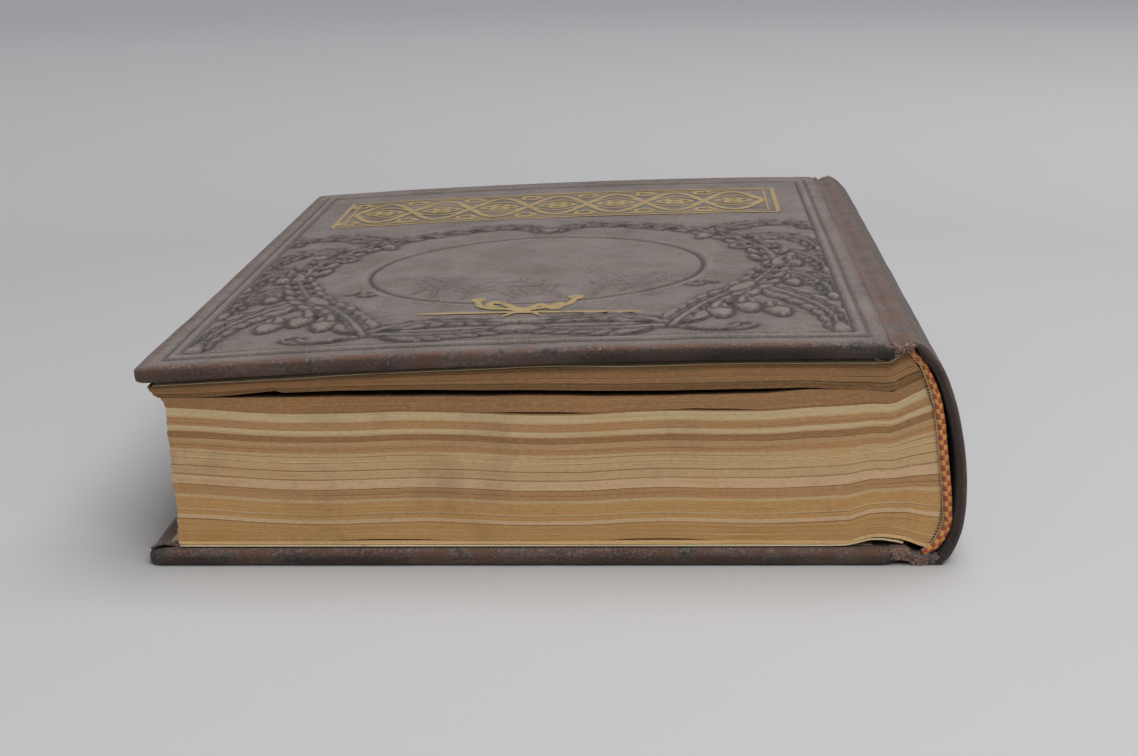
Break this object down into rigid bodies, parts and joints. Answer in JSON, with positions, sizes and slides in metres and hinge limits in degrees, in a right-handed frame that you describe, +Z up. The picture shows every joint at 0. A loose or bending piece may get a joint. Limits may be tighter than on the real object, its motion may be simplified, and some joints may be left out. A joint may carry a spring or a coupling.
{
  "type": "antique leather book",
  "caption": "Thick antique hardback lying closed: embossed worn covers, rounded hollow-back spine, striped headbands and browned, wavy page edges.",
  "frame": {"origin": "on the resting surface, under the middle of the closed book", "axes": "+Z up through the thickness, +Y from tail to head of the pages, +X from the fore-edge to the spine"},
  "size_m": [0.1934, 0.25, 0.0537],
  "materials": {
    "cover_leather": "worn, grained, partly gilt",
    "spine_leather": "dark, rubbed",
    "pages": "browned page edges",
    "endpaper": "aged cream",
    "board": "grey-brown pasteboard",
    "mull": "open starched cloth",
    "headband": "striped woven band"
  },
  "bodies": {
    "book_block": {"text_block": "pages", "front_flyleaf": "endpaper", "back_flyleaf": "endpaper", "spine_lining": "mull", "headband_head": "headband", "headband_tail": "headband", "spine_inlay": "board", "spine_leather": "spine_leather", "front_joint_leather": "spine_leather", "back_joint_leather": "spine_leather"},
    "front_cover": {"front_board": "board", "front_cover_leather": "cover_leather", "front_pastedown": "endpaper"},
    "back_cover": {"back_board": "board", "back_cover_leather": "cover_leather", "back_pastedown": "endpaper"}
  },
  "joints": [
    {"name": "front_hinge", "type": "hinge", "parent": "book_block", "child": "front_cover", "pos_m": [0.08328, 0, 0.0533], "axis": [0, 1, 0], "range_deg": [0, 180]},
    {"name": "back_hinge", "type": "hinge", "parent": "book_block", "child": "back_cover", "pos_m": [0.0882, 0, 0.0022], "axis": [0, -1, 0], "range_deg": [0, 180]}
  ]
}
